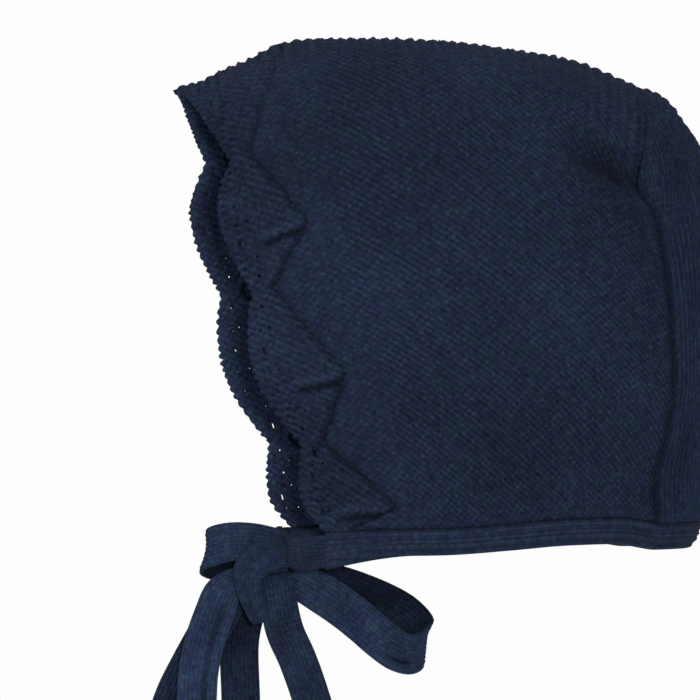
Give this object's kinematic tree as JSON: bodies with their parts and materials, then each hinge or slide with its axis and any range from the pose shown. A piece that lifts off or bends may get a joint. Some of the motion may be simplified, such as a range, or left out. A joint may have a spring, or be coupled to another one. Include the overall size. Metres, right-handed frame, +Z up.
{
  "type": "baby bonnet",
  "caption": "Knitted baby bonnet with a scalloped lace border, a ribbed back panel and a folded neckband, tied under the chin in a bow.",
  "frame": {"origin": "inside of the crown in the middle plane, where the top of the wearer's head bears", "axes": "+Z up along the upright head, -Y the way the face looks, +X the wearer's left-hand side, which is the side the picture shows"},
  "size_m": [0.1148, 0.1825, 0.2738],
  "materials": {
    "seed_stitch_panel": "navy cotton knit in seed stitch",
    "lace_border": "navy cotton lace knit",
    "back_panel": "navy cotton rib knit",
    "neckband": "navy cotton rib knit, folded",
    "near_tie": "navy cotton rib knit",
    "far_tie": "navy cotton rib knit",
    "bow_knot": "navy cotton rib knit",
    "right_loop": "navy cotton rib knit",
    "left_loop": "navy cotton rib knit",
    "upper_loop": "navy cotton rib knit",
    "front_tail": "navy cotton rib knit",
    "middle_tail": "navy cotton rib knit"
  },
  "bodies": {
    "root": {"seed_stitch_panel": "seed_stitch_panel", "lace_border": "lace_border", "back_panel": "back_panel", "neckband": "neckband", "near_tie": "near_tie", "far_tie": "far_tie", "bow_knot": "bow_knot", "right_loop": "right_loop", "left_loop": "left_loop", "upper_loop": "upper_loop", "front_tail": "front_tail", "middle_tail": "middle_tail"}
  },
  "joints": []
}
